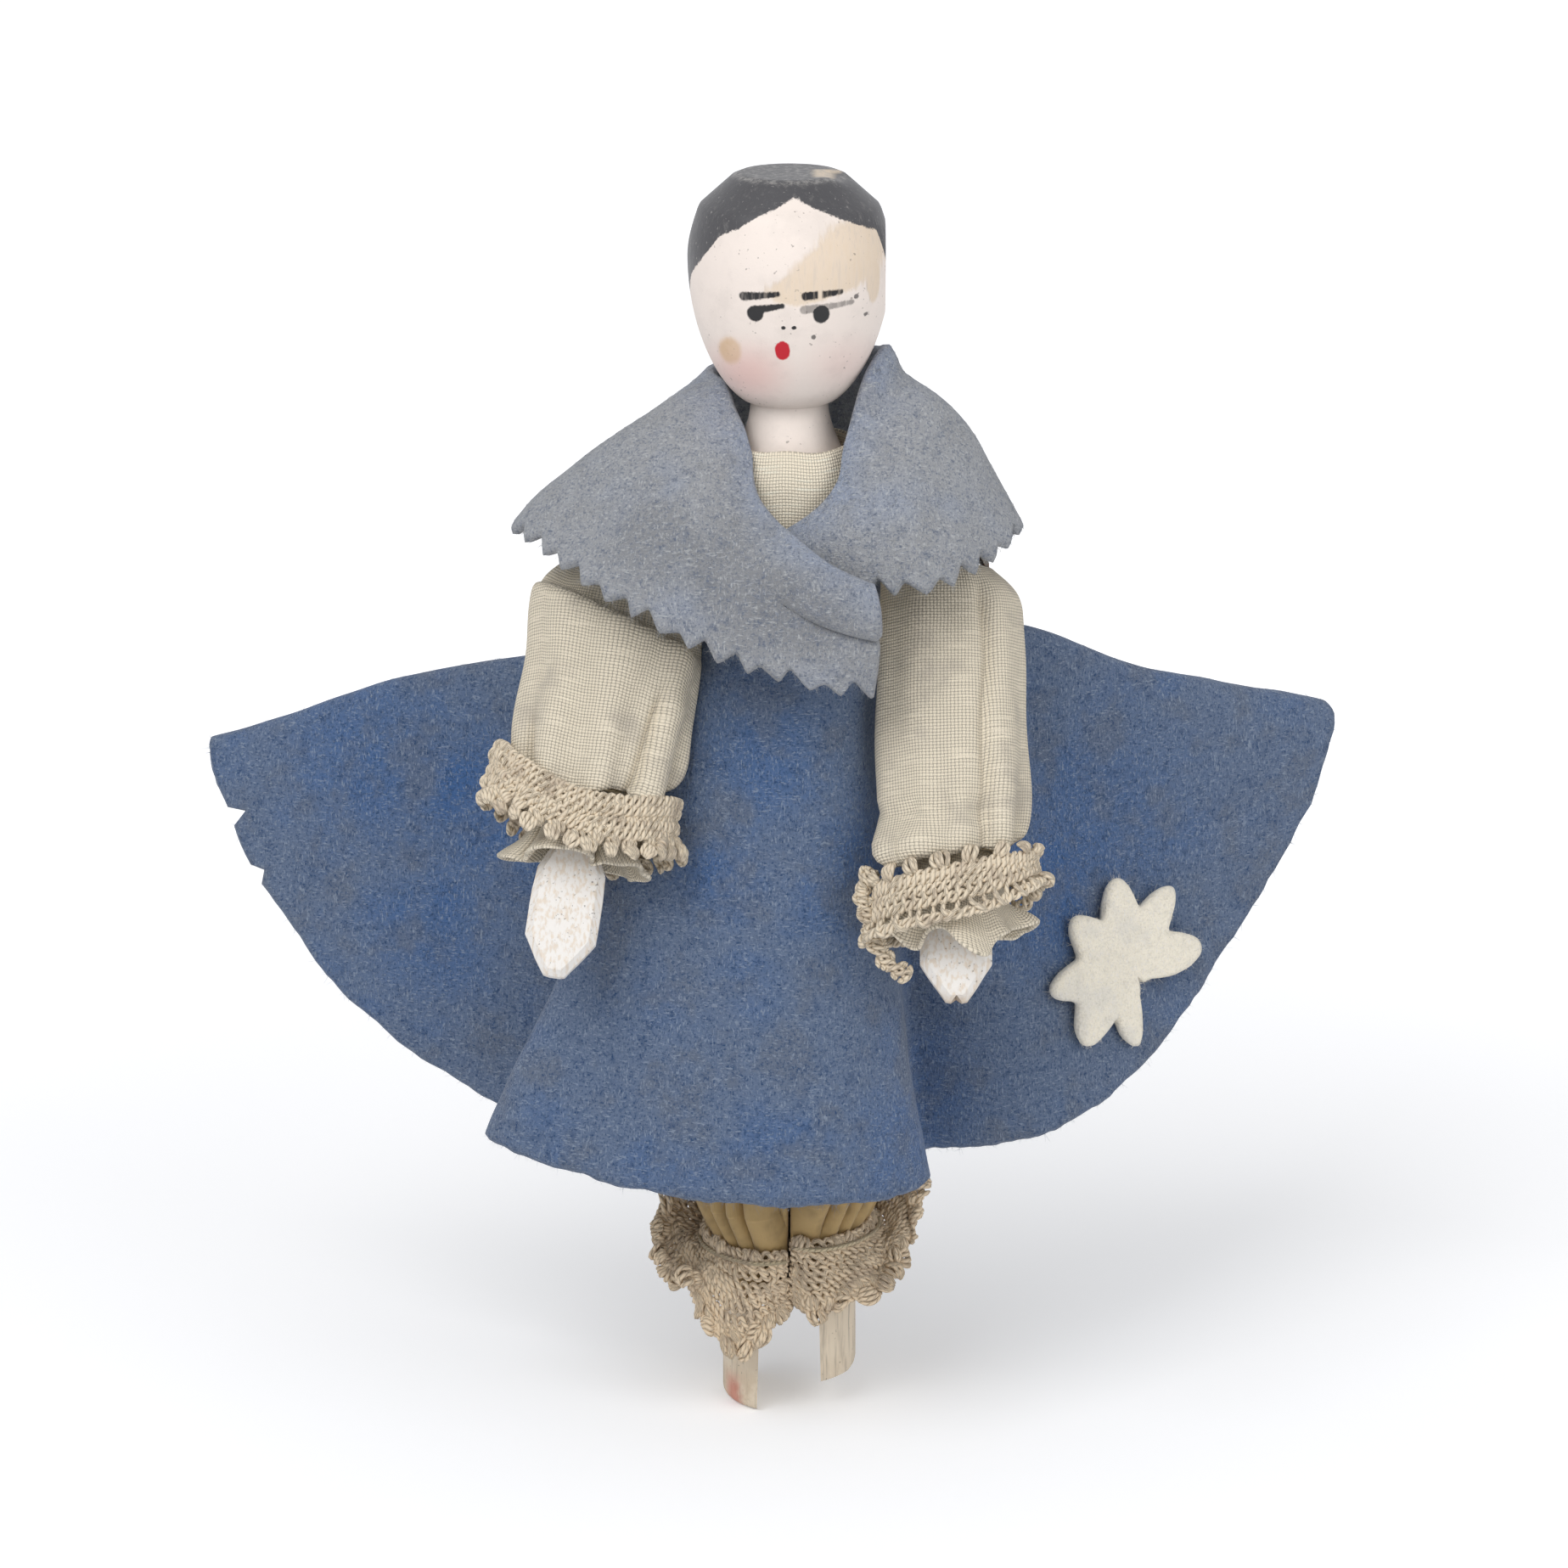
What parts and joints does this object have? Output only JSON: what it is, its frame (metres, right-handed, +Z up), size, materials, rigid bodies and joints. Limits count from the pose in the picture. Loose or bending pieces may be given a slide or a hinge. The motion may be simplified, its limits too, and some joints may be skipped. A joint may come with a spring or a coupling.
{
  "type": "peg doll",
  "caption": "Doll made on a turned wooden clothes peg, with a painted head, wooden arms that swing on a shoulder wire, a felt shawl and circle skirt, muslin sleeves and lace trims.",
  "frame": {"origin": "bottom centre of the bounding box, at the level of the longer prong's foot", "axes": "+Z up along the peg, -Y the way the doll faces, +X towards the doll's left hand"},
  "size_m": [0.0976, 0.0464, 0.1075],
  "materials": {
    "painted_peg": "old cream paint on turned wood",
    "painted_arm": "white paint on whittled wood",
    "wire": "dull wire",
    "muslin": "open plain weave cotton",
    "lace": "crocheted cotton yarn",
    "thread": "cotton thread",
    "shawl_felt": "wool felt",
    "skirt_felt": "wool felt",
    "flower_felt": "wool felt",
    "sateen": "cotton sateen"
  },
  "bodies": {
    "doll": {"clothes_peg": "painted_peg", "shoulder_wire": "wire", "blouse_bodice": "muslin", "shawl": "shawl_felt", "skirt": "skirt_felt", "waist_thread": "thread", "felt_flower": "flower_felt", "right_pantalette_leg": "sateen", "left_pantalette_leg": "sateen", "right_ankle_thread": "thread", "left_ankle_thread": "thread", "right_ankle_lace": "lace", "left_ankle_lace": "lace"},
    "right_arm": {"right_arm_stick": "painted_arm", "right_sleeve": "muslin", "right_wrist_thread": "thread", "right_cuff_lace": "lace"},
    "left_arm": {"left_arm_stick": "painted_arm", "left_sleeve": "muslin", "left_wrist_thread": "thread", "left_cuff_lace": "lace"}
  },
  "joints": [
    {"name": "right_shoulder", "type": "hinge", "parent": "doll", "child": "right_arm", "pos_m": [-0.01266, -0.00313, 0.075], "axis": [-1, 0, 0], "range_deg": [0, 25]},
    {"name": "left_shoulder", "type": "hinge", "parent": "doll", "child": "left_arm", "pos_m": [0.01494, -0.00313, 0.075], "axis": [-1, 0, 0], "range_deg": [0, 25]}
  ]
}
